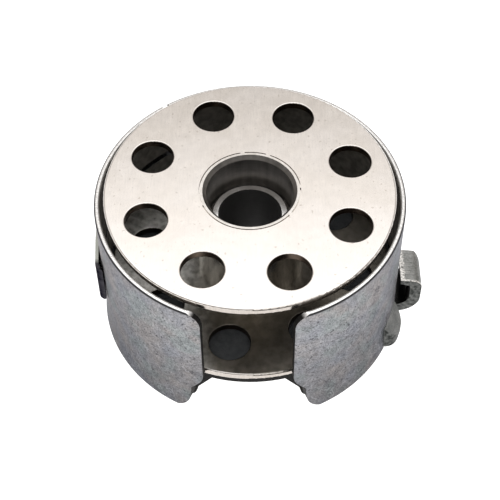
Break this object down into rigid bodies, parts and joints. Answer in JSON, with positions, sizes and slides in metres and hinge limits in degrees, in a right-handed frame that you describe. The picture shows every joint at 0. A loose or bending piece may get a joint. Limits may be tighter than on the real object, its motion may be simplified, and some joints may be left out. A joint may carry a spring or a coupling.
{
  "type": "bobbin case",
  "caption": "Cylindrical metal sewing machine bobbin case with a front window, a curled latch finger and a side tension spring, holding a flanged steel bobbin with round holes.",
  "frame": {"origin": "on the axis of the centre post, level with the underside of the case's floor, where the post's bore begins", "axes": "+Z along the post towards the open side and the bobbin, +X towards the latch finger, -Y towards the window"},
  "size_m": [0.0304, 0.0282, 0.0157],
  "materials": {
    "case_steel": "satin, barrel polished, slightly blue grey",
    "post_steel": "turned, bright top edge",
    "screw_steel": "turned",
    "spring_steel": "rolled spring steel",
    "bobbin_nickel": "polished nickel plate, warm",
    "bobbin_tube_nickel": "nickel plate, turned",
    "latch_steel": "stamped, satin"
  },
  "bodies": {
    "case": {"case_shell": "case_steel", "centre_post": "post_steel", "positioning_finger": "case_steel", "positioning_finger_rivet": "screw_steel", "latch_hinge_pin": "screw_steel", "slide_guide_screw": "screw_steel", "tension_fixing_screw": "screw_steel", "latch_spring": "spring_steel"},
    "bobbin": {"bobbin_top_flange": "bobbin_nickel", "bobbin_bottom_flange": "bobbin_nickel", "bobbin_hub_tube": "bobbin_tube_nickel"},
    "latch_slide": {"latch_slide": "latch_steel"},
    "latch_lever": {"latch_lever": "latch_steel"},
    "tension_spring": {"tension_spring": "spring_steel"},
    "tension_adjusting_screw": {"tension_adjusting_screw": "screw_steel"}
  },
  "joints": [
    {"name": "bobbin_spin", "type": "hinge", "parent": "case", "child": "bobbin", "pos_m": [0, 0, 0.00625], "axis": [0, 0, 1], "continuous": true},
    {"name": "latch_lever_hinge", "type": "hinge", "parent": "case", "child": "latch_lever", "pos_m": [-0.008, 0, -0.0024], "axis": [0, 1, 0], "range_deg": [0, 85], "stiffness_Nm_per_rad": 0.004, "springref_deg": -28.65},
    {"name": "latch_slide_travel", "type": "slide", "parent": "case", "child": "latch_slide", "axis": [1, 0, 0], "range_m": [0, 0.00268], "deforming": ["latch_spring"]},
    {"name": "tension_spring_flex", "type": "hinge", "parent": "case", "child": "tension_spring", "pos_m": [-0.00389, 0.01355, 0.00335], "axis": [0, 0, -1], "range_deg": [0, 1.2], "stiffness_Nm_per_rad": 0.02, "springref_deg": -2.86},
    {"name": "tension_screw_turn", "type": "hinge", "parent": "case", "child": "tension_adjusting_screw", "pos_m": [-0.01153, 0.00721, 0.00335], "axis": [-0.848, 0.5299, 0], "range_deg": [-360, 360]}
  ],
  "couplings": [
    {"joint": "latch_slide_travel", "follows": "latch_lever_hinge", "m_per_rad": 0.0018034}
  ]
}
